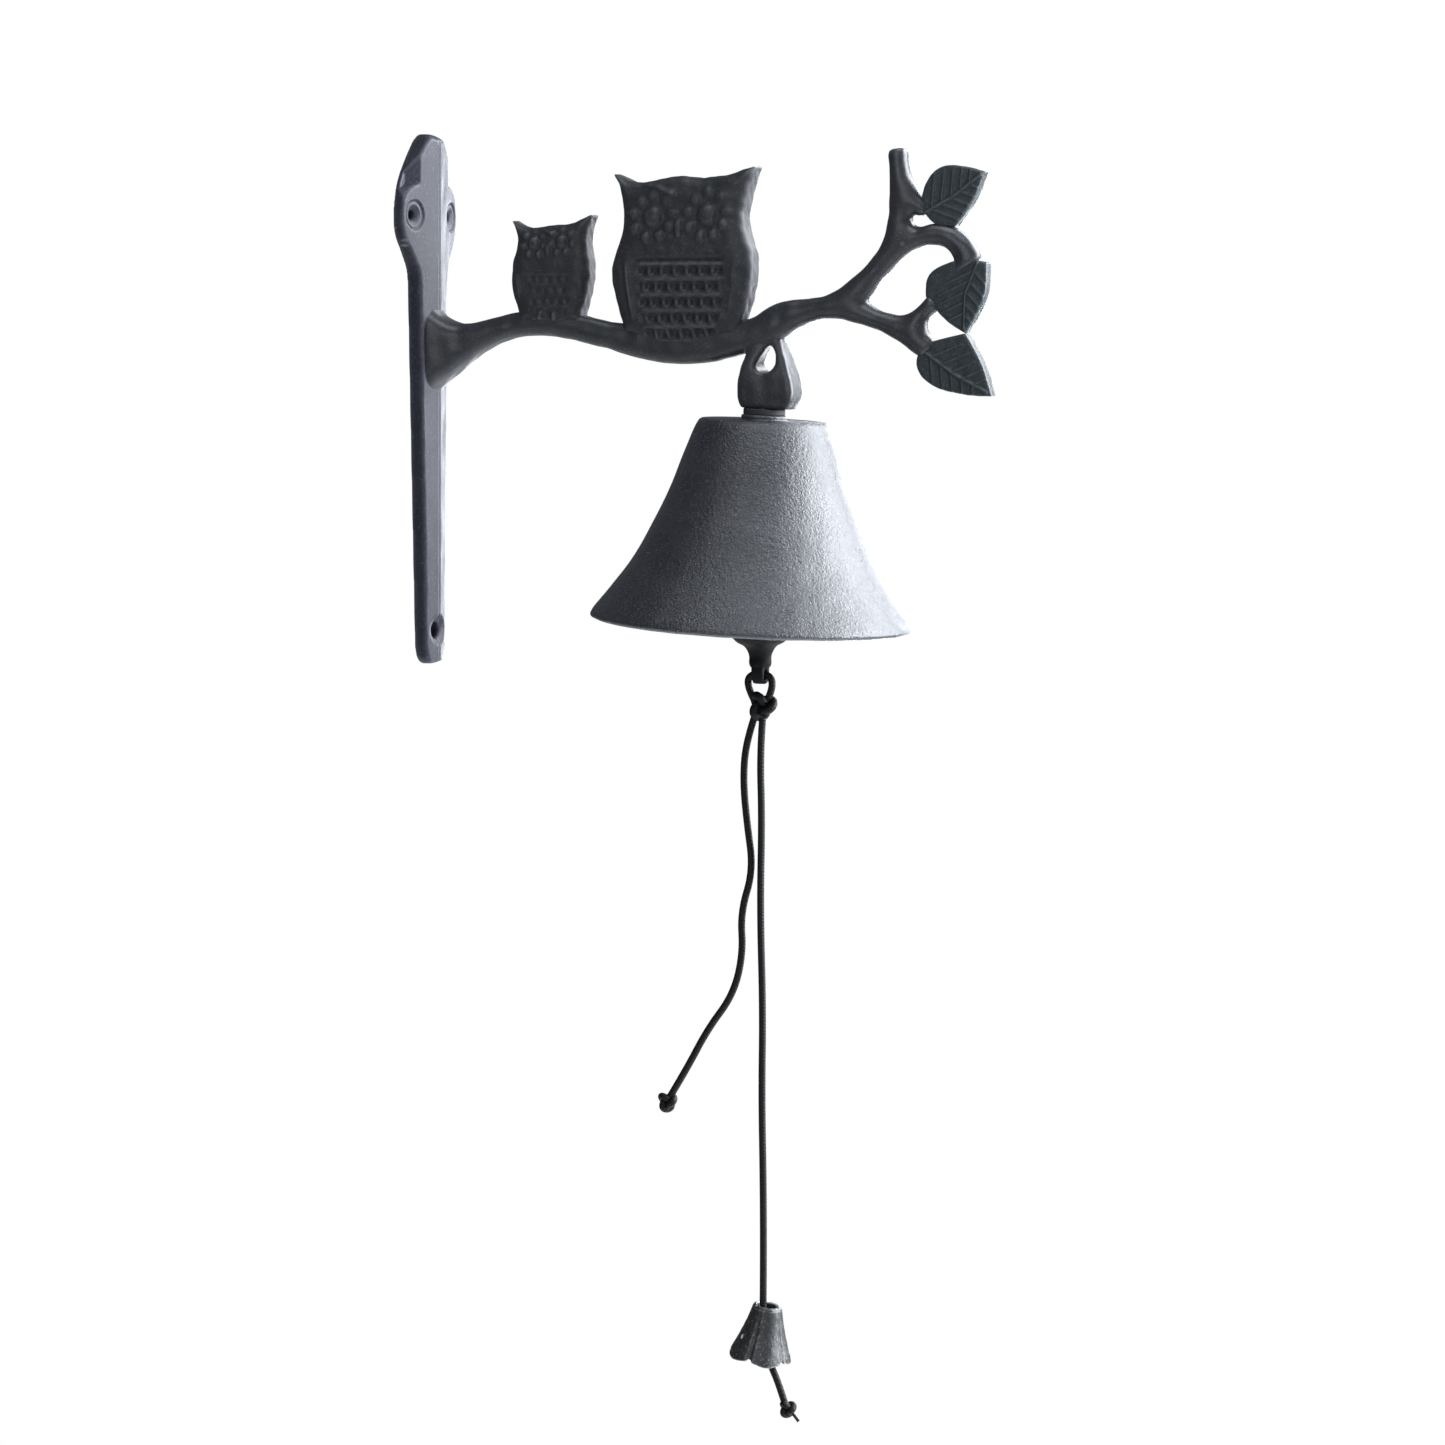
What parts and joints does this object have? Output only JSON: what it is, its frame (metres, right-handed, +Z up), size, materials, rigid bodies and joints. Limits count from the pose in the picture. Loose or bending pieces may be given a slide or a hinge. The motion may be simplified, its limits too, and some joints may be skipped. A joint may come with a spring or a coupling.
{
  "type": "wall mounted bell",
  "caption": "Cast-iron wall bell: a branch bracket with owls and leaves carries a flared bell, with a clapper and a pull cord ending in a flower weight.",
  "frame": {"origin": "the point on the wall plate's flat back at half its height, on its middle line", "axes": "+X away from the wall along the branch, +Y along the wall, +Z up"},
  "size_m": [0.1955, 0.104, 0.4133],
  "materials": {
    "bracket_iron": "sand-cast, black satin paint, worn lighter on edges",
    "bell_iron": "sand-cast grain under thin black paint",
    "clapper_iron": "cast, black paint",
    "pull_iron": "cast, black paint, light metal at the rim",
    "fixing_steel": "zinc plated",
    "hook_steel": "bent plated wire",
    "washer_rubber": "matt black",
    "cord": "waxed black braid"
  },
  "bodies": {
    "mounted": {"bracket": "bracket_iron", "isolating_washer": "washer_rubber", "bell": "bell_iron", "eye_bolt": "fixing_steel", "crown_washer": "fixing_steel", "hex_nut": "fixing_steel"},
    "hook": {"s_hook": "hook_steel"},
    "clapper": {"clapper": "clapper_iron"},
    "cord": {"cord_knot": "cord", "long_cord": "cord", "short_cord": "cord", "tail_cord": "cord", "stop_knot": "cord", "short_end_knot": "cord", "tail_knot": "cord"},
    "pull": {"pull_weight": "pull_iron"}
  },
  "joints": [
    {"name": "hook_swing", "type": "hinge", "parent": "mounted", "child": "hook", "pos_m": [0.11871, 0, -0.02807], "axis": [0, 1, 0], "range_deg": [-34, 40]},
    {"name": "clapper_sway", "type": "hinge", "parent": "hook", "child": "clapper", "pos_m": [0.11871, 0, -0.04307], "axis": [1, 0, 0], "range_deg": [-12, 12]},
    {"name": "cord_swing", "type": "hinge", "parent": "clapper", "child": "cord", "pos_m": [0.11871, 0, -0.0853], "axis": [1, 0, 0], "range_deg": [-45, 45]},
    {"name": "pull_slide", "type": "slide", "parent": "cord", "child": "pull", "axis": [0, 0, 1], "range_m": [0, 0.02]}
  ]
}
